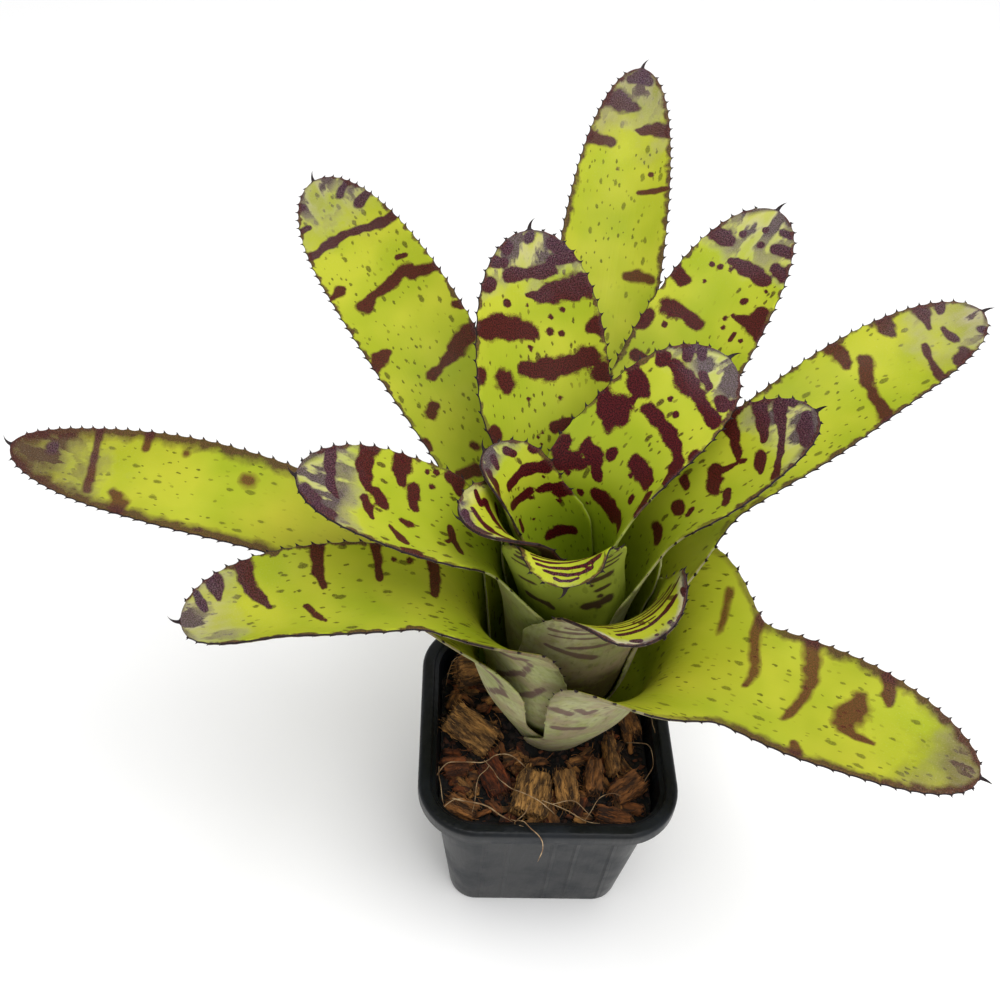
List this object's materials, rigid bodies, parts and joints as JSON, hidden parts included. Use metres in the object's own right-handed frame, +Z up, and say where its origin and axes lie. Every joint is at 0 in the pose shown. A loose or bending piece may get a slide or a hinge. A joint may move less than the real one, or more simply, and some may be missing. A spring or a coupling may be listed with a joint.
{
  "type": "neoregelia bromeliad in a square nursery pot",
  "caption": "Tank bromeliad with overlapping spiny strap leaves round a central cup, rooted in bark mix in a square black plastic nursery pot.",
  "frame": {"origin": "centre of the pot's flat underside", "axes": "+Z up, -Y the front of the plant, where the low front leaves are, +X to its right"},
  "size_m": [0.3416, 0.2698, 0.2286],
  "materials": {
    "pot_plastic": "smooth moulded polypropylene, slightly glossy on the rim",
    "potting_mix": "dark moist bark and coir fines",
    "husk": "dry fibrous coconut husk",
    "leaf": "stiff satin leaf, yellow-green with maroon bars, grey scurf beneath"
  },
  "bodies": {
    "root": {"pot": "pot_plastic", "potting_mix": "potting_mix", "husk_chip_01": "husk", "husk_chip_02": "husk", "husk_chip_03": "husk", "husk_chip_04": "husk", "husk_chip_05": "husk", "husk_chip_06": "husk", "husk_chip_07": "husk", "husk_chip_08": "husk", "husk_chip_09": "husk", "husk_chip_10": "husk", "husk_chip_11": "husk", "husk_chip_12": "husk", "leaf_01": "leaf", "leaf_02": "leaf", "leaf_03": "leaf", "leaf_04": "leaf", "leaf_05": "leaf", "leaf_06": "leaf", "leaf_07": "leaf", "leaf_08": "leaf", "leaf_09": "leaf", "leaf_10": "leaf", "leaf_11": "leaf", "leaf_12": "leaf", "leaf_13": "leaf", "leaf_14": "leaf", "leaf_15": "leaf"}
  },
  "joints": []
}
